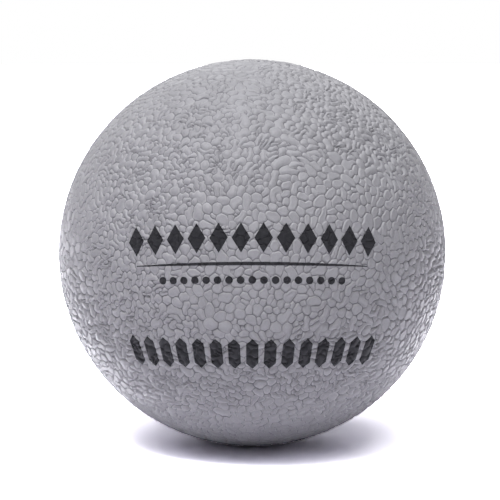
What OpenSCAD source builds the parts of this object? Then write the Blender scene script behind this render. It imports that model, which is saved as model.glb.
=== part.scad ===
// Lacrosse ball: a solid rubber core inside a grained rubber cover moulded in two halves, with a
// printed front. The origin is the ball's centre, +Z is up and the print faces -Y.
// Every printed row follows a circle around the ball. The row's latitude is its height at the middle
// of the front, and its lean is the angle by which the circle tips back from level.

/* [Ball] */
// Diameter over the cover
ball_d = 63; // [40:0.1:100]
// Thickness of the cover around the core
cover_t = 6; // [2:0.1:15]

/* [Print] */
// Thickness of the ink film on the cover
ink_t = 0.06; // [0.04:0.01:0.3]

/* [Lozenge row] */
// Number of lozenges
lozenge_count = 12; // [1:1:30]
// Width of a lozenge along the row
lozenge_w = 2.9; // [1:0.1:6]
// Height of a lozenge
lozenge_h = 4.7; // [1:0.1:8]
// Space between neighbouring lozenges
lozenge_gap = 0.6; // [0.3:0.1:3]
// Latitude of the lozenge row in degrees
lozenge_lat = 14.3; // [5:0.1:40]
// Lean of the lozenge row in degrees
lozenge_lean = 16.9; // [0:0.1:30]

/* [Rule] */
// Length of the rule, straight from end to end
rule_l = 33.2; // [10:0.1:50]
// Thickness of the rule at its middle
rule_mid_t = 0.55; // [0.3:0.01:1.5]
// Thickness of the rule at its ends
rule_end_t = 0.2; // [0.1:0.01:1]
// Latitude of the rule in degrees
rule_lat = 7; // [-10:0.1:20]
// Lean of the rule in degrees
rule_lean = 14.7; // [0:0.1:30]

/* [Dot row] */
// Number of dots
dot_count = 17; // [1:1:40]
// Diameter of a dot
dot_d = 1.2; // [0.5:0.1:3]
// Space between neighbouring dots
dot_gap = 0.6; // [0.3:0.1:3]
// Latitude of the dot row in degrees
dot_lat = 2.3; // [-20:0.1:20]
// Lean of the dot row in degrees
dot_lean = 12.7; // [0:0.1:30]

/* [Bar row] */
// Number of bars
bar_count = 15; // [1:1:30]
// Width of a bar along the row
bar_w = 1.9; // [0.5:0.1:5]
// Height of a bar from point to point
bar_h = 5.4; // [4:0.1:8]
// Height of a bar's pointed end
bar_point_h = 1; // [0.2:0.1:1.9]
// Space between neighbouring bars
bar_gap = 0.9; // [0.3:0.1:3]
// Latitude of the bar row in degrees
bar_lat = -20.1; // [-40:0.1:-10]
// Lean of the bar row in degrees
bar_lean = 6.2; // [0:0.1:20]

/* [Hidden] */

$fn = 96;
// How far a shape that cuts the cover or the film runs past what it cuts
overrun = 2;

ball_r = ball_d / 2;
core_r = ball_r - cover_t;
film_r = ball_r + ink_t;

rubber_colour = [0.6, 0.6, 0.625];
core_colour = [0.35, 0.35, 0.36];
ink_colour = [0.22, 0.22, 0.24];

// Angle between the middles of neighbouring marks on a row that lies this far up its own globe
function pitch_angle(mark_w, mark_gap, row_lat) =
    360 * (mark_w + mark_gap) / (PI * ball_d * cos(row_lat));

// Thin skin of ink over the whole ball, which each mark cuts its own piece from
module ink_skin() {
    difference() {
        sphere(r = film_r);
        sphere(r = ball_r);
    }
}

// One printed mark at the middle of the front: the skin inside a flat outline, seen from -Y
module ink_mark() {
    intersection() {
        ink_skin();
        translate([0, overrun - ball_r, 0])
            rotate([90, 0, 0])
                linear_extrude(height = ink_t + 2 * overrun)
                    children();
    }
}

// A row of equal marks, spread evenly to both sides of the front's middle
module mark_row(count, mark_w, mark_gap, lat, lean) {
    row_lat = lat - lean;
    step = pitch_angle(mark_w, mark_gap, row_lat);
    rotate([-lean, 0, 0])
        for (i = [0 : count - 1])
            rotate([0, 0, (i - (count - 1) / 2) * step])
                rotate([-row_lat, 0, 0])
                    ink_mark()
                        children();
}

// Half of the cover, from the parting plane to the front, closed on the core
module cover_half() {
    intersection() {
        difference() {
            sphere(r = ball_r);
            sphere(r = core_r);
        }
        translate([-film_r - overrun, -film_r - overrun, -film_r - overrun])
            cube([2 * (film_r + overrun), film_r + overrun, 2 * (film_r + overrun)]);
    }
}

module core() {
    color(core_colour)
        sphere(r = core_r);
}

module cover_front() {
    color(rubber_colour)
        cover_half();
}

module cover_back() {
    color(rubber_colour)
        mirror([0, 1, 0])
            cover_half();
}

module ink_lozenge_row() {
    color(ink_colour)
        mark_row(lozenge_count, lozenge_w, lozenge_gap, lozenge_lat, lozenge_lean)
            polygon([
                [-lozenge_w / 2, 0],
                [0, -lozenge_h / 2],
                [lozenge_w / 2, 0],
                [0, lozenge_h / 2]
            ]);
}

// The rule is the skin between two planes that close up towards its ends
module ink_rule() {
    row_lat = rule_lat - rule_lean;
    row_z = ball_r * sin(row_lat);
    row_r = ball_r * cos(row_lat);
    end_y = -sqrt(pow(row_r, 2) - pow(rule_l / 2, 2));
    growth = (rule_mid_t - rule_end_t) / (end_y + row_r);
    front_y = -row_r - overrun;
    front_t = rule_mid_t + growth * overrun;
    color(ink_colour)
        rotate([-rule_lean, 0, 0])
            intersection() {
                ink_skin();
                translate([-rule_l / 2, 0, 0])
                    rotate([90, 0, 90])
                        linear_extrude(height = rule_l)
                            polygon([
                                [front_y, row_z - front_t / 2],
                                [end_y, row_z - rule_end_t / 2],
                                [end_y, row_z + rule_end_t / 2],
                                [front_y, row_z + front_t / 2]
                            ]);
            }
}

module ink_dot_row() {
    color(ink_colour)
        mark_row(dot_count, dot_d, dot_gap, dot_lat, dot_lean)
            circle(d = dot_d);
}

module ink_bar_row() {
    color(ink_colour)
        mark_row(bar_count, bar_w, bar_gap, bar_lat, bar_lean)
            polygon([
                [0, -bar_h / 2],
                [bar_w / 2, bar_point_h - bar_h / 2],
                [bar_w / 2, bar_h / 2 - bar_point_h],
                [0, bar_h / 2],
                [-bar_w / 2, bar_h / 2 - bar_point_h],
                [-bar_w / 2, bar_point_h - bar_h / 2]
            ]);
}

core();
cover_front();
cover_back();
ink_lozenge_row();
ink_rule();
ink_dot_row();
ink_bar_row();
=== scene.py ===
"""Looks of the lacrosse ball: grained rubber cover halves, printed ink films, a rubber core, and a
studio around them."""

import math

import bmesh
import bpy
import numpy as np
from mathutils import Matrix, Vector
from mathutils.geometry import delaunay_2d_cdt


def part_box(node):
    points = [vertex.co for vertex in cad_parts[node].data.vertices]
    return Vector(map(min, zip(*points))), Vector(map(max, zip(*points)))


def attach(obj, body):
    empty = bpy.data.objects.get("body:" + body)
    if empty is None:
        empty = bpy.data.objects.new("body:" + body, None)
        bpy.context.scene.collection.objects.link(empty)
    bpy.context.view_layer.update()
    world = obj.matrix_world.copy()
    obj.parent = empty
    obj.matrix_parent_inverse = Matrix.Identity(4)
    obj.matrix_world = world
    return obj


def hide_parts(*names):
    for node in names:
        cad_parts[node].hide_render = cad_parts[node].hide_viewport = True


MM = 0.001
SEED = 1776
LEAST_GAP = 1e-7  # between the middles of two cells, laid out flat
TOUCH = 0.001 * MM  # what is nearer than this is at the same place

# Grain: pads of rubber between narrow grooves, with lengths in millimetres. A pad is one cell or a
# row of them. The grain is plain in some places and crumpled in others, and a pair of values is for
# those two.
BALL_RADIUS = 31.5  # of the ball that the grain's lengths are for
PAD_COUNT = 6600
PAD_JITTER = 0.45  # of the pads' spacing
CELL_SHARES = (  # of the pads have 1, 2, 3 and 4 cells
    (0.5, 0.35, 0.15, 0.0),
    (0.15, 0.3, 0.33, 0.22),
)
CELL_STEP = 0.6  # from one cell of a pad to the next
CELL_BEND = 0.6  # radians in a step
RELAX_PASSES = 3
FLOW_LENGTH = 16  # over which the pads' direction changes
FLOW_SPREAD = 1.2  # of the pads' own directions about the flow
CRUMPLE_LENGTH = 26  # over which the grain changes from plain to crumpled
CRUMPLE_MIDDLE = 0.5
CRUMPLE_SWING = 0.8
WAVE_COUNT = 40

# Grooves. Each has a depth of its own, between two shares of the full one.
GROOVE_DEPTH = (0.32, 0.38)
GROOVE_HALF_WIDTH = (0.09, 0.12)
DEPTH_SHARES = (0.7, 1.0)
FADED_GROOVES = 0.2  # of the grooves
FADED_SHARES = (0.1, 0.6)
JUNCTION_SHARE = 1.2  # of the depth, where three grooves meet
WIDTH_SHARES = (0.5, 1.0)  # of the width, for a groove of no depth and of the full one
STRAIGHTENING = (0.9, 0.0)  # of the bend where only two edges of pads meet
STRAIGHTEN_PASSES = 2
EDGE_BEND = 0.12  # of an edge's length
SHORT_EDGE = 0.45  # the longest edge without a bend

# Pads. A shoulder is where the wall of a groove ends and the pad's bevel starts.
BEVEL_WIDTH = (0.22, 0.3)
BEVEL_DROP = (0.16, 0.22)
SHOULDER_REACH = 0.45  # the most of the way from the groove to the cell's middle
BEVEL_REACH = 0.7
ROUNDING = (0.1, 0.5)
ROUNDING_PASSES = 2
PAD_DROP = 0.07  # the most that a pad is set down
PAD_TILT = 0.07  # slope
SOFT_TOP = 0.4  # the least crumpling at which a pad's top is rounded

# Parting line between the two halves of the cover, and their socket for the core, in millimetres
LAND_WIDTH = 0.22
LAND_DROP = 0.03
LAND_SEARCH = 3 * LAND_WIDTH  # from the parting plane, for faces that the land cuts
LAND_SHARE = 0.999  # of the land's width is smooth, so that its far edge keeps the grain
LINE_SHARE = 0.25  # of the land's width is the fine line
LINE_DROP = 0.08
SOCKET_STEPS = 96
SOCKET_RINGS = 24
SOCKET_SEARCH = 1  # from the core, for the socket's faces

# Print, in millimetres. It was pressed on along one direction.
PRESSED_ALONG = (0, 1, 0)
FILM_RISE = 0.02
FILM_SINK = 0.01
FILM_SEARCH = 1.5
LONG_MARK = 8
WALL_LEAN = 0.5  # the most that a mark's side wall faces outwards, as a cosine
WALL_ROUNDING = 50  # steps to 1, by which the normals of one wall are told from another's

# Flat maps that the looks are baked on, as shares of the map's width
MAP_NAME = "OFBake"
MAP_MARGIN = 0.01
SOCKET_MAP = (0.085, 0.085)
PARTING_MAP = (0.915, 0.085)
SMALL_MAP_RADIUS = 0.08
PARTING_FACING = 0.99  # the least that the parting face faces along Y, as a cosine
OUTSIDE_FACING = 0.5  # the least that a film's outside faces outwards, as a cosine

# Materials. A noise is its waves per metre, octaves and roughness. A ramp is colours at values of a
# noise. A range is two results, and the two values that they are for. Pores are a bump's strength
# and its depth. The groove value is the depth of a groove as a share of the full one. It is 0 on a
# pad, and below 0 on the pads' shoulders. The grooves' darker colour is painted shade. The
# shoulders' paler colour is partly wear and partly painted highlight on the pads' rims.
GROOVE_LAYER = "groove"
# the shoulders' groove value, which makes them paler: partly wear, partly painted highlight
SHOULDER_WEAR_AND_HIGHLIGHT = -0.3
MIX_COLOURS = (6, 7)  # the inputs of a Mix node that take colours
MIX_RESULT = 2  # its output that gives a colour
CLOUD_NOISE = (160, 3, 0.5)
CLOUD_RAMP = ((0.3, (0.32, 0.317, 0.341)), (0.7, (0.36, 0.357, 0.384)))
SPECKLE_NOISE = (2600, 3, 0.6)
SPECKLE_RAMP = ((0.3, (0.9, 0.9, 0.9)), (0.7, (1, 1, 1)))
# Painted shade in the grooves: the rubber's colour there goes towards this darker grey with depth
GROOVE_PAINTED_SHADE = (0.12, 0.118, 0.135, 1)
GROOVE_PAINTED_SHADE_RANGE = (0.0, 0.7, 0.0, 0.8)
# Paler shoulders: partly wear and partly painted highlight on the pads' rims
WEAR_AND_HIGHLIGHT_COLOUR = (0.5, 0.497, 0.51, 1)
WEAR_AND_HIGHLIGHT_RANGE = (0.35, 0.0, SHOULDER_WEAR_AND_HIGHLIGHT, 0.0)
RUBBER_ROUGHNESS_RANGE = (0.4, 0.65, 0.0, 1.0)
RUBBER_SPECULAR = 0.15
PORE_NOISE = (3500, 4, 0.6)
RUBBER_PORES = (0.35, 0.02 * MM)
INK_NOISE = (1800, 4, 0.6)
INK_RAMP = ((0.3, (0.017, 0.017, 0.02)), (0.75, (0.028, 0.028, 0.032)))
THIN_INK = (0.06, 0.06, 0.068, 1)
THIN_INK_RANGE = (0.0, 0.25, 0.0, 1.0)
INK_ROUGHNESS_NOISE = (1500, 2, 0.5)
INK_ROUGHNESS_RANGE = (0.5, 0.66, 0.3, 0.7)
INK_SPECULAR = 0.08
INK_PORES = (0.3, 0.015 * MM)
CORE_NOISE = (220, 4, 0.5)
CORE_RAMP = ((0.3, (0.09, 0.09, 0.094)), (0.7, (0.12, 0.12, 0.126)))
CORE_ROUGHNESS_NOISE = (500, 3, 0.5)
CORE_ROUGHNESS_RANGE = (0.6, 0.8, 0.3, 0.7)
CORE_PORE_NOISE = (900, 3, 0.5)
CORE_PORES = (0.4, 0.05 * MM)

# Camera, in metres and degrees, and the ball's outline in the photograph, in pixels
FRAME_PIXELS = 500
OUTLINE_CENTRE = (252.3, 252.8)
OUTLINE_RADIUS = 193.7
CAMERA_DISTANCE = 0.6
CAMERA_ELEVATION = 10
CAMERA_CLIP = 0.01
SENSOR_MM = 36

# Studio, in metres and degrees. The floor lights the ball with one colour. The camera sees it in
# another, which is so bright that the floor is pure white around the ball's shadow.
FLOOR_HALF = 0.5
FLOOR_CORNERS = ((-1, -1), (1, -1), (1, 1), (-1, 1))
FLOOR_BOUNCE = (0.71, 0.697, 0.748, 1)
FLOOR_SEEN = (4.8, 4.73, 5.03, 1)
SKY_COLOUR = (0.93, 0.9, 1.0, 1)
SKY_STRENGTH = 0.03
BACKDROP_SEEN = (1, 1, 1, 1)
LAMP_DISTANCE = 0.9
LAMPS = (  # angle round from the front to the left, angle up from level, size, watts
    (20, 79, 1.2, 7.0),
    (22, 62, 0.35, 6.0),
    (180, 22, 0.4, 0.6),
)


def unit(v):
    """The same directions, each of length 1."""
    return v / np.linalg.norm(v, axis=-1, keepdims=True)


def blend(pair, share):
    """From the first number of the pair at a share of 0 to the second at 1."""
    return pair[0] + (pair[1] - pair[0]) * share


def sphere_triangles(points):
    """Triangles between neighbouring points of a sphere, as rows of three point numbers, turned
    outwards. The points are laid out flat, as seen from the last one, where neighbours stay
    neighbours."""
    pole, rest = points[-1], points[:-1]
    across = unit(np.cross(pole, pole[[1, 2, 0]]))
    flat = np.stack([rest @ across, rest @ np.cross(pole, across)], 1)
    flat /= 1 - (rest @ pole)[:, None]
    places = [Vector(p) for p in flat.tolist()]
    laid, _, faces, _, _, _ = delaunay_2d_cdt(places, [], [], 0, LEAST_GAP)
    if len(laid) != len(rest):
        raise ValueError("two cells have the same centre")
    found = np.array(faces)
    sides = np.concatenate([found[:, [0, 1]], found[:, [1, 2]], found[:, [2, 0]]])
    key, back = sides @ [len(points), 1], sides @ [1, len(points)]
    rim = sides[~np.isin(key, back)]
    around_pole = np.column_stack([rim, np.full(len(rim), len(rest))])
    found = np.concatenate([found, around_pole])
    a, b, c = (points[found[:, i]] for i in range(3))
    inwards = (np.cross(b - a, c - a) * a).sum(1) < 0
    found[inwards] = found[inwards][:, ::-1]
    return found


def smooth_field(length, rng):
    """A function from directions to smooth random vectors, about 1 long each way, that change over
    about a length in millimetres."""
    waves = unit(rng.normal(size=(WAVE_COUNT, 3))) * (2 * math.pi / length * BALL_RADIUS)
    turns = rng.uniform(0, 2 * math.pi, WAVE_COUNT)
    sways = rng.normal(size=(WAVE_COUNT, 3)) * math.sqrt(2 / WAVE_COUNT)
    return lambda directions: np.sin(directions @ waves.T + turns) @ sways


def crumple_map(rng):
    """A function from directions to how crumpled the grain is there, from 0 to 1."""
    field = smooth_field(CRUMPLE_LENGTH, rng)
    return lambda directions: np.clip(
        CRUMPLE_MIDDLE + field(directions)[:, 0] * CRUMPLE_SWING, 0, 1
    )


def cell_centres(crumple, rng):
    """Directions of the cells' centres, and the pad that each belongs to. A pad is one cell or a
    short curved row of them, and lies mostly along a flow that wanders over the ball."""
    number = np.arange(PAD_COUNT)
    height = 1 - (2 * number + 1) / PAD_COUNT
    turn = number * math.pi * (3 - math.sqrt(5))  # steps of the golden angle
    across = np.sqrt(1 - height**2)
    even = np.column_stack([across * np.cos(turn), across * np.sin(turn), height])
    spacing = math.sqrt(4 * math.pi / PAD_COUNT)
    middle = unit(even + rng.normal(size=even.shape) * spacing * PAD_JITTER)

    limits = blend(np.cumsum(CELL_SHARES, axis=1)[:, :-1], crumple(middle)[:, None])
    cells = 1 + (rng.random((PAD_COUNT, 1)) > limits).sum(1)
    pad = np.repeat(number, cells)
    place = np.arange(len(pad)) - (np.cumsum(cells) - cells)[pad] - (cells[pad] - 1) / 2
    flow = smooth_field(FLOW_LENGTH, rng)(middle) + rng.normal(size=middle.shape) * FLOW_SPREAD
    along = unit(flow - middle * (flow * middle).sum(1, keepdims=True))
    aside = np.cross(middle, along)
    curl = rng.normal(size=PAD_COUNT) * CELL_BEND / 2
    step = CELL_STEP / BALL_RADIUS * place[:, None]
    bent = aside[pad] * (curl[pad] * place)[:, None]
    centres = unit(middle[pad] + step * (along[pad] + bent))
    for _ in range(RELAX_PASSES):
        triangles = sphere_triangles(centres)
        room = np.zeros_like(centres)
        for i in range(3):
            np.add.at(room, triangles[:, i], centres[triangles].mean(1))
        move = np.zeros((PAD_COUNT, 3))
        np.add.at(move, pad, unit(room) - centres)
        centres = unit(centres + move[pad] / cells[pad][:, None])
    return centres, pad


def cell_edges(triangles, count):
    """Edges of the cells, each seen from the cell inside it: the next edge around the cell, and the
    same edge seen from the cell outside it. Edge i is the one that starts in triangle i // 3, of
    the cell at that triangle's corner i % 3."""
    corner = np.arange(triangles.size)
    start, end = triangles.ravel(), np.roll(triangles, -1, axis=1).ravel()
    key = start * count + end
    order = np.argsort(key)
    across = order[np.searchsorted(key[order], end * count + start)]
    after = across[corner - corner % 3 + (corner + 2) % 3]
    twin = after - after % 3 + (after + 1) % 3
    return after, twin


def pad_rims(pad, after, twin):
    """The rims of the pads, from the pad inside each edge: which edges have another pad outside
    them, the next edge along the rim and the one before."""
    rim = pad != pad[twin]
    follow = np.where(rim[after], after, after[twin[after]])
    lead = np.arange(len(pad))
    lead[follow[rim]] = np.flatnonzero(rim)
    return rim, follow, lead


def straightened(middles, meeting, rim, follow, crumple):
    """The meetings of the edges, moved for straighter grooves: in plain grain, a groove loses most
    of its bend where it passes the end of an edge between two cells of one pad."""
    passing = np.bincount(meeting[rim], minlength=len(middles)) == 2
    share = (blend(STRAIGHTENING, crumple(middles)) * passing)[:, None]
    for _ in range(STRAIGHTEN_PASSES):
        beyond = np.zeros_like(middles)
        np.add.at(beyond, meeting[rim], middles[meeting[follow[rim]]])
        middles = unit(middles + (beyond / 2 - middles) * share)
    return middles


def groove_depths(meeting, edge, rim, rng):
    """Depths of the grooves along each edge and at each meeting of edges, as shares of the full
    depth."""
    along = rng.uniform(*DEPTH_SHARES, len(edge))
    faded = rng.random(len(edge)) < FADED_GROOVES
    along[faded] = rng.uniform(*FADED_SHARES, faded.sum())
    count = meeting[-1] + 1
    total, grooves = np.zeros(count), np.zeros(count)
    np.add.at(total, meeting, along[edge] * rim)
    np.add.at(grooves, meeting, rim)
    junction = np.where(grooves == 3, JUNCTION_SHARE, 1.0)
    return along, total / np.maximum(grooves, 1) * junction


def edge_middles(starts, ends, rng):
    """A point near the middle of each edge, off its straight line, and which edges are long enough
    to need it."""
    way = ends - starts
    length = np.linalg.norm(way, axis=1)
    wander = rng.normal(size=way.shape) * length[:, None] * EDGE_BEND
    return unit(starts + way / 2 + wander), length * BALL_RADIUS > SHORT_EDGE


def pad_rings(floor, inside, depth, crumpled, after, before):
    """Directions of the two rings on each pad inside its groove floor: its shoulder, and the inner
    edge of its bevel. They are pulled in towards the directions inside, and rounded off."""
    inwards = inside - floor
    reach = np.linalg.norm(inwards, axis=1) * BALL_RADIUS
    inset = blend(GROOVE_HALF_WIDTH, crumpled) * blend(WIDTH_SHARES, depth)
    bevel = inset + blend(BEVEL_WIDTH, crumpled)
    shoulder = floor + inwards * np.minimum(inset / reach, SHOULDER_REACH)[:, None]
    inner = floor + inwards * np.minimum(bevel / reach, BEVEL_REACH)[:, None]
    rounding = blend(ROUNDING, crumpled)[:, None] / 2
    for _ in range(ROUNDING_PASSES):
        for ring in (shoulder, inner):
            ring += ((ring[after] + ring[before]) / 2 - ring) * rounding
    return unit(shoulder), unit(inner)


def loops(first, follow):
    """The closed loops of a chain, as lists, each from one of the numbers in first."""
    follow = follow.tolist()
    seen, found = set(), []
    for i in first.tolist():
        loop = []
        while i not in seen:
            seen.add(i)
            loop.append(i)
            i = follow[i]
        if loop:
            found.append(loop)
    return found


def pad_faces(on_floor, on_rim, after):
    """Faces of the walls, bevels and tops of the pads, as lists of point numbers, and the rim point
    that each top starts at. First come the floor's points, then the shoulders and then the inner
    edges of the bevels."""
    on_shoulder = len(on_floor) + np.arange(len(on_floor))
    on_inner = len(on_floor) + on_shoulder
    a = np.flatnonzero(on_rim)
    b = after[a]
    walls = np.stack([on_floor[a], on_floor[b], on_shoulder[b], on_shoulder[a]], 1)
    bevels = np.stack([on_shoulder[a], on_shoulder[b], on_inner[b], on_inner[a]], 1)
    rims = loops(a, after)
    tops = [on_inner[rim].tolist() for rim in rims]
    return walls.tolist() + bevels.tolist() + tops, [rim[0] for rim in rims]


def pad_slopes(hub, pad, rng):
    """A function from the rim points' directions to how far the tops of their pads lie below the
    ball's radius there, in millimetres. A pad is set down a little and tilted."""
    drop = rng.uniform(0, PAD_DROP, PAD_COUNT)
    tilt = rng.normal(size=(PAD_COUNT, 3)) * PAD_TILT

    def below(directions):
        lean = ((directions - hub[pad]) * tilt[pad]).sum(1) * BALL_RADIUS
        return drop[pad] - np.minimum(lean, drop[pad])

    return below


def lowered(directions, below, radius):
    """Points in the directions, at the radius less a depth in millimetres."""
    return directions * (radius - below * MM)[:, None]


def renumbered(faces):
    """The points that the faces use, and the faces with those points numbered from 0."""
    used, places = np.unique(np.concatenate(faces), return_inverse=True)
    ends = np.cumsum([len(f) for f in faces])
    return used, [f.tolist() for f in np.split(places, ends[:-1])]


def grained_sphere(radius, rng):
    """Vertices, faces, groove values and which faces are rounded, for a whole sphere covered in
    pads. The pads' tops reach the radius."""
    crumple = crumple_map(rng)
    centres, pad_of = cell_centres(crumple, rng)
    triangles = sphere_triangles(centres)
    cell = triangles.ravel()
    starts = np.arange(len(cell))
    after, twin = cell_edges(triangles, len(centres))
    rim, follow, lead = pad_rims(pad_of[cell], after, twin)
    edge = np.minimum(starts, twin)
    meeting = starts // 3
    middles = straightened(unit(centres[triangles].mean(1)), meeting, rim, follow, crumple)
    edge_depth, meeting_depth = groove_depths(meeting, edge, rim, rng)
    halfway_points, halved = edge_middles(middles[meeting], middles[meeting[after]], rng)

    # A rim's points: the start of each edge, and the middle of an edge that isn't short
    halfway = len(cell) + starts
    floor = np.concatenate([middles[meeting], halfway_points[edge]])
    depth = np.concatenate([meeting_depth[meeting], edge_depth[edge]])
    inside = np.concatenate([unit(centres[cell] + centres[cell[lead]]), centres[cell]])
    after_point = np.concatenate([np.where(halved, halfway, follow), follow])
    before_point = np.concatenate([np.where(halved[lead], halfway[lead], lead), starts])
    crumpled = crumple(floor)
    shoulder, inner = pad_rings(floor, inside, depth, crumpled, after_point, before_point)

    pad = np.tile(pad_of[cell], 2)
    hub = np.zeros((PAD_COUNT, 3))
    np.add.at(hub, pad_of, centres)
    hub = unit(hub)
    below = pad_slopes(hub, pad, rng)
    points = np.concatenate([
        lowered(floor, blend(GROOVE_DEPTH, crumpled) * depth + PAD_DROP / 2, radius),
        lowered(shoulder, below(shoulder) + blend(BEVEL_DROP, crumpled) * depth, radius),
        lowered(inner, below(inner), radius),
    ])
    # A shoulder's value below 0 makes it paler: partly wear, partly painted highlight on the pad's
    # rim
    groove = np.concatenate([depth, SHOULDER_WEAR_AND_HIGHLIGHT * depth, np.zeros(len(inner))])

    # The floor's points are shared by the pads around them
    on_floor = np.concatenate([3 * meeting, len(cell) + edge])
    on_rim = np.concatenate([rim, rim & halved])
    faces, top_starts = pad_faces(on_floor, on_rim, after_point)
    soft = np.ones(len(faces), bool)
    soft[len(faces) - len(top_starts):] = crumple(hub[pad[top_starts]]) > SOFT_TOP
    used, faces = renumbered(faces)
    return points[used], faces, groove[used], soft


def add_object(name, mesh):
    """An object that shows the mesh, in the scene."""
    piece = bpy.data.objects.new(name, mesh)
    bpy.context.scene.collection.objects.link(piece)
    return piece


def mesh_numbers(items, name, width, kind=np.float32):
    """One property of all of a mesh's items, as an array with a row for each."""
    values = np.empty(len(items) * width, kind)
    items.foreach_get(name, values)
    return values.reshape(-1, width)


def face_corners(mesh):
    """Position of each corner of the mesh's faces, and the centre and normal of its face."""
    vertex = mesh_numbers(mesh.loops, "vertex_index", 1, np.int32).ravel()
    corners = mesh_numbers(mesh.polygons, "loop_total", 1, np.int32).ravel()
    face = np.repeat(np.arange(len(corners)), corners)
    at = mesh_numbers(mesh.vertices, "co", 3)[vertex]
    centre = mesh_numbers(mesh.polygons, "center", 3)[face]
    normal = mesh_numbers(mesh.polygons, "normal", 3)[face]
    return at, centre, normal


def set_bake_map(mesh, places):
    """Gives the mesh the flat map that its looks are baked on."""
    layer = mesh.uv_layers.new(name=MAP_NAME)
    layer.data.foreach_set("uv", places.astype(np.float32).ravel())


def map_cover(mesh, side, radius, core_radius):
    """Lays a cover half out flat: its outside as a disc, and the core's socket and the parting face
    as small discs in two corners beside it."""
    at, centre, normal = face_corners(mesh)
    polar = np.arccos(np.clip(side * unit(at)[:, 1], -1, 1))
    level = at[:, [0, 2]]
    around = level / np.maximum(np.linalg.norm(level, axis=1, keepdims=True), TOUCH)
    spread = around * (math.sqrt(2) * np.sin(polar / 2))[:, None]
    places = 0.5 + (0.5 - MAP_MARGIN) * spread
    socket = np.linalg.norm(centre, axis=1) < core_radius + SOCKET_SEARCH * MM
    places[socket] = SOCKET_MAP + SMALL_MAP_RADIUS * spread[socket]
    parting = (np.abs(centre[:, 1]) < TOUCH) & (np.abs(normal[:, 1]) > PARTING_FACING)
    places[parting] = PARTING_MAP + SMALL_MAP_RADIUS * level[parting] / radius
    set_bake_map(mesh, places)


def map_film(mesh):
    """Lays printed films out flat, as seen from the front: their outside above, the rest below."""
    at, centre, normal = face_corners(mesh)
    level = at[:, [0, 2]]
    low, high = level.min(0), level.max(0)
    room = (1 - 2 * MAP_MARGIN, 0.5 - 2 * MAP_MARGIN)
    places = MAP_MARGIN + (level - low) / (high - low) * room
    places[(normal * unit(centre)).sum(1) > OUTSIDE_FACING] += (0, 0.5)
    set_bake_map(mesh, places)


def add_core_socket(bm, rim, side, core_radius):
    """Closes a cover half with the face at the parting plane and the hollow half ball that holds
    the core."""
    rows = []
    for i in range(SOCKET_RINGS):
        polar = math.pi / 2 * (1 - i / SOCKET_RINGS)
        row = []
        for k in range(SOCKET_STEPS):
            turn = 2 * math.pi * k / SOCKET_STEPS
            row.append(bm.verts.new((
                core_radius * math.sin(polar) * math.cos(turn),
                side * core_radius * math.cos(polar),
                core_radius * math.sin(polar) * math.sin(turn),
            )))
        rows.append(row)
    pole = bm.verts.new((0, side * core_radius, 0))
    for low, high in zip(rows, rows[1:]):
        for k in range(SOCKET_STEPS):
            bm.faces.new((low[k - 1], low[k], high[k], high[k - 1])).smooth = True
    for k in range(SOCKET_STEPS):
        bm.faces.new((rows[-1][k - 1], rows[-1][k], pole)).smooth = True
    hole = [bm.edges.get((rows[0][k - 1], rows[0][k])) for k in range(SOCKET_STEPS)]
    bmesh.ops.triangle_fill(bm, use_beauty=True, edges=rim + hole, normal=(0, -side, 0))


def cover_half(whole, side, radius, core_radius):
    """A closed half of the cover: side is -1 for the front and 1 for the back. The grain fades out
    at the parting line, in a narrow smooth land with a fine line in its middle."""
    bm = bmesh.new()
    bm.from_mesh(whole)
    away = Vector((0, side, 0))
    everything = bm.verts[:] + bm.edges[:] + bm.faces[:]
    cut = bmesh.ops.bisect_plane(
        bm, geom=everything, plane_co=(0, 0, 0), plane_no=-away, clear_outer=True
    )
    rim = [e for e in cut["geom_cut"] if isinstance(e, bmesh.types.BMEdge)]
    near = [f for f in bm.faces if abs(f.calc_center_median().y) < LAND_SEARCH * MM]
    edges = list(dict.fromkeys(e for f in near for e in f.edges))
    points = list(dict.fromkeys(v for f in near for v in f.verts))
    bmesh.ops.bisect_plane(
        bm, geom=points + edges + near, plane_co=away * LAND_WIDTH * MM, plane_no=away
    )
    for v in bm.verts:
        share = abs(v.co.y) / (LAND_WIDTH * MM)
        if share < LAND_SHARE:
            below = blend((LINE_DROP, LAND_DROP), min(1, share / LINE_SHARE))
            flat = math.sqrt((radius - below * MM) ** 2 - v.co.y**2)
            v.co.x, v.co.z = Vector((v.co.x, v.co.z)).normalized() * flat
    add_core_socket(bm, rim, side, core_radius)
    bmesh.ops.recalc_face_normals(bm, faces=bm.faces)
    mesh = bpy.data.meshes.new("cover_half")
    bm.to_mesh(mesh)
    bm.free()
    map_cover(mesh, side, radius, core_radius)
    return mesh


def islands(mesh):
    """The separate solids of a mesh, as lists of their faces: each face's middle, normal and
    area."""
    bm = bmesh.new()
    bm.from_mesh(mesh)
    bmesh.ops.remove_doubles(bm, verts=bm.verts, dist=TOUCH)
    seen, found = set(), []
    for first in bm.faces:
        todo, island = [first], []
        while todo:
            face = todo.pop()
            if face not in seen:
                seen.add(face)
                island.append((face.calc_center_median(), face.normal.copy(), face.calc_area()))
                todo += [other for edge in face.edges for other in edge.link_faces]
        if island:
            found.append(island)
    bm.free()
    return found


def side_walls(island):
    """Centre and reach of a printed mark, and the planes of its side walls as (point, normal)
    pairs, turned about the mark's outline to lie along the print's direction. The walls of a long
    mark, which bends around the ball, stay as they are."""
    area = sum(a for _, _, a in island)
    centre = sum((c * a for c, _, a in island), Vector()) / area
    outward = centre.normalized()
    reach = max((place - centre).length for place, _, _ in island)
    walls = {}
    for place, normal, _ in island:
        if abs(normal.dot(place.normalized())) < WALL_LEAN:
            key = tuple(round(x * WALL_ROUNDING) for x in normal)
            if reach <= LONG_MARK * MM:
                edge = normal.cross(outward)
                turned = edge.cross(Vector(PRESSED_ALONG)).normalized()
                normal = turned if turned.dot(normal) > 0 else -turned
            walls.setdefault(key, (place, normal))
    return centre, reach, list(walls.values())


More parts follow.
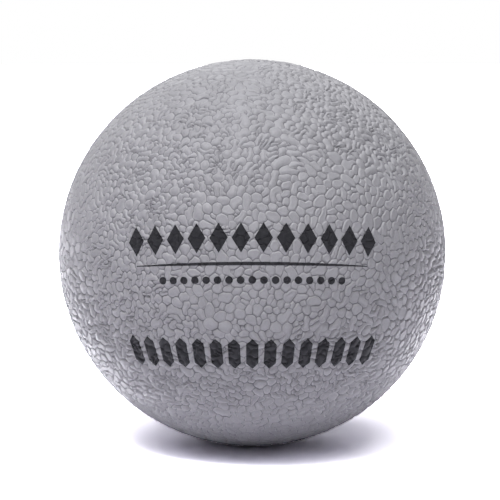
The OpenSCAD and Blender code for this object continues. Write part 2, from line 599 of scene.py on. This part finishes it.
def cut_sheet(points, depths, triangles, smooth, walls):
    """A sheet of the cover's triangles, with their groove values, cut off at the walls' planes."""
    used, local = np.unique(triangles, return_inverse=True)
    bm = bmesh.new()
    layer = bm.verts.layers.float.new(GROOVE_LAYER)
    for point, depth in zip(points[used].tolist(), depths[used].tolist()):
        bm.verts.new(point)[layer] = depth
    bm.verts.ensure_lookup_table()
    for corners, soft in zip(local.reshape(-1, 3).tolist(), smooth.tolist()):
        bm.faces.new([bm.verts[i] for i in corners]).smooth = soft
    for place, normal in walls:
        everything = bm.verts[:] + bm.edges[:] + bm.faces[:]
        bmesh.ops.bisect_plane(
            bm, geom=everything, plane_co=place, plane_no=normal, clear_outer=True
        )
    sheet = bpy.data.meshes.new("mark")
    bm.to_mesh(sheet)
    bm.free()
    return sheet


def film(node, cover):
    """The printed film of one CAD node, cut from the cover's own surface and raised a little off
    it."""
    points = mesh_numbers(cover.vertices, "co", 3).astype(float)
    depths = mesh_numbers(cover.attributes[GROOVE_LAYER].data, "value", 1).ravel()
    triangles = mesh_numbers(cover.loop_triangles, "vertices", 3, np.int32)
    face = mesh_numbers(cover.loop_triangles, "polygon_index", 1, np.int32).ravel()
    smooth = mesh_numbers(cover.polygons, "use_smooth", 1, bool).ravel()[face]
    middles = points[triangles].mean(1)
    whole = bmesh.new()
    whole.verts.layers.float.new(GROOVE_LAYER)
    for island in islands(node.data):
        centre, reach, walls = side_walls(island)
        away = np.linalg.norm(middles - np.array(centre), axis=1)
        chosen = away < reach + FILM_SEARCH * MM
        sheet = cut_sheet(points, depths, triangles[chosen], smooth[chosen], walls)
        whole.from_mesh(sheet)
        bpy.data.meshes.remove(sheet)
    bottom = whole.faces[:]
    raised = bmesh.ops.extrude_face_region(whole, geom=bottom, use_keep_orig=True)
    top = {v for v in raised["geom"] if isinstance(v, bmesh.types.BMVert)}
    for v in whole.verts:
        rise = FILM_RISE if v in top else -FILM_SINK
        v.co += v.co.normalized() * rise * MM
    bmesh.ops.recalc_face_normals(whole, faces=whole.faces)
    mesh = bpy.data.meshes.new(node.name + "_film")
    whole.to_mesh(mesh)
    whole.free()
    map_film(mesh)
    return mesh


def new_material(name):
    """A material with nodes, its node tree and its Principled shader."""
    material = bpy.data.materials.new(name)
    material.use_nodes = True
    return material, material.node_tree, material.node_tree.nodes["Principled BSDF"]


def noise_node(tree, noise):
    """Noise in waves per metre of the object, so that it doesn't need a UV map."""
    place = tree.nodes.new("ShaderNodeTexCoord")
    node = tree.nodes.new("ShaderNodeTexNoise")
    for name, value in zip(("Scale", "Detail", "Roughness"), noise):
        node.inputs[name].default_value = value
    tree.links.new(place.outputs["Object"], node.inputs["Vector"])
    return node.outputs["Fac"]


def ramp_node(tree, fac, stops):
    """A colour ramp over fac, between two (position, colour) stops."""
    ramp = tree.nodes.new("ShaderNodeValToRGB")
    for element, (position, colour) in zip(ramp.color_ramp.elements, stops):
        element.position = position
        element.color = (*colour, 1)
    tree.links.new(fac, ramp.inputs["Fac"])
    return ramp.outputs["Color"]


def mix_colour(tree, kind, fac, a, b):
    """A colour mix of two sockets or colours."""
    mix = tree.nodes.new("ShaderNodeMix")
    mix.data_type = "RGBA"
    mix.blend_type = kind
    for place, value in zip(("Factor", *MIX_COLOURS), (fac, a, b)):
        if isinstance(value, bpy.types.NodeSocket):
            tree.links.new(value, mix.inputs[place])
        else:
            mix.inputs[place].default_value = value
    return mix.outputs[MIX_RESULT]


def ranged(tree, fac, limits):
    """fac mapped to a range. The limits are two results and the values of fac that they are for."""
    node = tree.nodes.new("ShaderNodeMapRange")
    for name, value in zip(("To Min", "To Max", "From Min", "From Max"), limits):
        node.inputs[name].default_value = value
    tree.links.new(fac, node.inputs["Value"])
    return node.outputs["Result"]


def bump_node(tree, height, size):
    """A bump of a strength and a real depth in metres."""
    bump = tree.nodes.new("ShaderNodeBump")
    for name, value in zip(("Strength", "Distance"), size):
        bump.inputs[name].default_value = value
    tree.links.new(height, bump.inputs["Height"])
    return bump.outputs["Normal"]


def groove_value(tree):
    """The groove value at each point of the cover or of a film on it."""
    attribute = tree.nodes.new("ShaderNodeAttribute")
    attribute.attribute_name = GROOVE_LAYER
    return attribute.outputs["Fac"]


def cover_rubber():
    """Grey rubber: cloudy at a few millimetres, finely speckled, rougher in the grooves and darker
    there as painted shade, and paler on the pads' shoulders, partly as wear and partly as painted
    highlight."""
    material, tree, shader = new_material("cover_rubber")
    clouds = ramp_node(tree, noise_node(tree, CLOUD_NOISE), CLOUD_RAMP)
    speckle = ramp_node(tree, noise_node(tree, SPECKLE_NOISE), SPECKLE_RAMP)
    colour = mix_colour(tree, "MULTIPLY", 1.0, clouds, speckle)
    groove = groove_value(tree)
    # Painted shade: the grooves' colour goes towards a darker grey with their depth
    painted_groove_shade = ranged(tree, groove, GROOVE_PAINTED_SHADE_RANGE)
    colour = mix_colour(tree, "MIX", painted_groove_shade, colour, GROOVE_PAINTED_SHADE)
    # Paler shoulders: partly wear, partly painted highlight on the pads' rims
    wear_and_highlight = ranged(tree, groove, WEAR_AND_HIGHLIGHT_RANGE)
    colour = mix_colour(tree, "MIX", wear_and_highlight, colour, WEAR_AND_HIGHLIGHT_COLOUR)
    tree.links.new(colour, shader.inputs["Base Color"])
    tree.links.new(ranged(tree, groove, RUBBER_ROUGHNESS_RANGE), shader.inputs["Roughness"])
    shader.inputs["Specular IOR Level"].default_value = RUBBER_SPECULAR
    normal = bump_node(tree, noise_node(tree, PORE_NOISE), RUBBER_PORES)
    tree.links.new(normal, shader.inputs["Normal"])
    return material


def print_ink():
    """Dark grey ink, a little thinner in the grooves and finely mottled."""
    material, tree, shader = new_material("print_ink")
    mottle = ramp_node(tree, noise_node(tree, INK_NOISE), INK_RAMP)
    thin = ranged(tree, groove_value(tree), THIN_INK_RANGE)
    colour = mix_colour(tree, "MIX", thin, mottle, THIN_INK)
    tree.links.new(colour, shader.inputs["Base Color"])
    roughness = ranged(tree, noise_node(tree, INK_ROUGHNESS_NOISE), INK_ROUGHNESS_RANGE)
    tree.links.new(roughness, shader.inputs["Roughness"])
    shader.inputs["Specular IOR Level"].default_value = INK_SPECULAR
    normal = bump_node(tree, noise_node(tree, PORE_NOISE), INK_PORES)
    tree.links.new(normal, shader.inputs["Normal"])
    return material


def core_rubber():
    """Dark plain rubber of the core, with the fine flow marks of moulding."""
    material, tree, shader = new_material("core_rubber")
    colour = ramp_node(tree, noise_node(tree, CORE_NOISE), CORE_RAMP)
    tree.links.new(colour, shader.inputs["Base Color"])
    roughness = ranged(tree, noise_node(tree, CORE_ROUGHNESS_NOISE), CORE_ROUGHNESS_RANGE)
    tree.links.new(roughness, shader.inputs["Roughness"])
    normal = bump_node(tree, noise_node(tree, CORE_PORE_NOISE), CORE_PORES)
    tree.links.new(normal, shader.inputs["Normal"])
    return material


def dress(piece, material, node):
    """Puts the material on the piece, which rides on the ball and stands for the CAD node."""
    piece.data.materials.clear()
    piece.data.materials.append(material)
    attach(piece, "root")
    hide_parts(node)


def build_ball(nodes):
    """Every piece of the ball, on the CAD's own sizes. Returns the ball's radius."""
    low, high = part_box("cover_back")
    radius = (high.x - low.x) / 2
    core_low, core_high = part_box("core")
    core_radius = (core_high.z - core_low.z) / 2
    rng = np.random.default_rng(SEED)
    points, faces, groove, soft = grained_sphere(radius, rng)
    whole = bpy.data.meshes.new("whole")
    whole.from_pydata(points.tolist(), [], faces)
    whole.polygons.foreach_set("use_smooth", soft)
    layer = whole.attributes.new(GROOVE_LAYER, "FLOAT", "POINT")
    layer.data.foreach_set("value", groove.astype(np.float32))

    rubber = cover_rubber()
    for name, side in (("cover_front", -1), ("cover_back", 1)):
        half = add_object("grained_" + name, cover_half(whole, side, radius, core_radius))
        dress(half, rubber, name)
    bpy.data.meshes.remove(whole)

    ink = print_ink()
    cover = bpy.data.objects["grained_cover_front"].data
    cover.calc_loop_triangles()
    for name in ("ink_lozenge_row", "ink_rule", "ink_dot_row", "ink_bar_row"):
        printed = add_object("printed_" + name, film(nodes[name], cover))
        dress(printed, ink, name)

    core = nodes["core"]
    core.data.materials.clear()
    core.data.materials.append(core_rubber())
    return radius


def add_camera(radius):
    """Camera in front of the print and a little above it, framed on the ball's outline."""
    focal_pixels = OUTLINE_RADIUS / math.tan(math.asin(radius / CAMERA_DISTANCE))
    camera = bpy.data.cameras.new("camera")
    camera.sensor_width = SENSOR_MM
    camera.lens = SENSOR_MM * focal_pixels / FRAME_PIXELS
    camera.clip_start = CAMERA_CLIP
    rig = add_object("camera", camera)
    elevation = math.radians(CAMERA_ELEVATION)
    position = Vector((0, -math.cos(elevation), math.sin(elevation))) * CAMERA_DISTANCE
    rotation = (-position).to_track_quat("-Z", "Y")
    off_x, off_y = ((place - FRAME_PIXELS / 2) / focal_pixels for place in OUTLINE_CENTRE)
    target = rotation @ Vector((-off_x, off_y, 0)) * CAMERA_DISTANCE
    rig.location = position
    rig.rotation_mode = "QUATERNION"
    rig.rotation_quaternion = (target - position).to_track_quat("-Z", "Y")
    bpy.context.scene.camera = rig


def add_lamp(turn, rise, size, power):
    """A soft square lamp that faces the ball."""
    data = bpy.data.lights.new("lamp", "AREA")
    data.size = size
    data.energy = power
    lamp = add_object("lamp", data)
    turn, rise = math.radians(turn), math.radians(rise)
    level = math.cos(rise) * LAMP_DISTANCE
    height = math.sin(rise) * LAMP_DISTANCE
    lamp.location = (-math.sin(turn) * level, -math.cos(turn) * level, height)
    lamp.rotation_mode = "QUATERNION"
    lamp.rotation_quaternion = (-lamp.location).to_track_quat("-Z", "Y")


def seen_directly(tree):
    """1 for what the camera sees, also in a reflection or through glass, and 0 for the light on the
    ball."""
    path = tree.nodes.new("ShaderNodeLightPath")
    total = path.outputs["Is Camera Ray"]
    for name in ("Is Glossy Ray", "Is Transmission Ray"):
        larger = tree.nodes.new("ShaderNodeMath")
        larger.operation = "MAXIMUM"
        tree.links.new(total, larger.inputs[0])
        tree.links.new(path.outputs[name], larger.inputs[1])
        total = larger.outputs["Value"]
    return total


def pick_shader(tree, seen, other, output):
    """Shows one shader to the camera and lets another one light the ball."""
    mix = tree.nodes.new("ShaderNodeMixShader")
    tree.links.new(seen_directly(tree), mix.inputs["Fac"])
    tree.links.new(other.outputs[0], mix.inputs[1])
    tree.links.new(seen.outputs[0], mix.inputs[2])
    tree.links.new(mix.outputs["Shader"], tree.nodes[output].inputs["Surface"])


def add_floor(radius):
    """A white floor under the ball. Past it the camera sees the white backdrop."""
    mesh = bpy.data.meshes.new("floor")
    corners = [(x * FLOOR_HALF, y * FLOOR_HALF, -radius) for x, y in FLOOR_CORNERS]
    mesh.from_pydata(corners, [], [(0, 1, 2, 3)])
    floor = add_object("floor", mesh)
    material, tree, shader = new_material("floor_white")
    tree.nodes.remove(shader)
    seen, other = (tree.nodes.new("ShaderNodeBsdfDiffuse") for _ in range(2))
    seen.inputs["Color"].default_value = FLOOR_SEEN
    other.inputs["Color"].default_value = FLOOR_BOUNCE
    pick_shader(tree, seen, other, "Material Output")
    floor.data.materials.append(material)


def add_world():
    """Faint pale light from all sides, and white where the camera looks past the floor."""
    world = bpy.data.worlds.new("studio")
    world.use_nodes = True
    tree = world.node_tree
    other = tree.nodes["Background"]
    other.inputs["Color"].default_value = SKY_COLOUR
    other.inputs["Strength"].default_value = SKY_STRENGTH
    seen = tree.nodes.new("ShaderNodeBackground")
    seen.inputs["Color"].default_value = BACKDROP_SEEN
    pick_shader(tree, seen, other, "World Output")
    bpy.context.scene.world = world


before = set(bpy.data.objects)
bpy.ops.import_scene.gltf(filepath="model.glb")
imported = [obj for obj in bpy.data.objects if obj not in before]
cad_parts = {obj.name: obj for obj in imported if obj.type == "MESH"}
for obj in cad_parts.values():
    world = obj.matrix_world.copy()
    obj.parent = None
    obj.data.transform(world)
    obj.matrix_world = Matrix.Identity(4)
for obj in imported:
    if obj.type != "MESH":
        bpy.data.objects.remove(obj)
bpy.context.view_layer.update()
scene = bpy.context.scene
scene.view_settings.view_transform = "Standard"

ball_radius = build_ball(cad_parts)
add_camera(ball_radius)
add_floor(ball_radius)
add_world()
for lamp in LAMPS:
    add_lamp(*lamp)
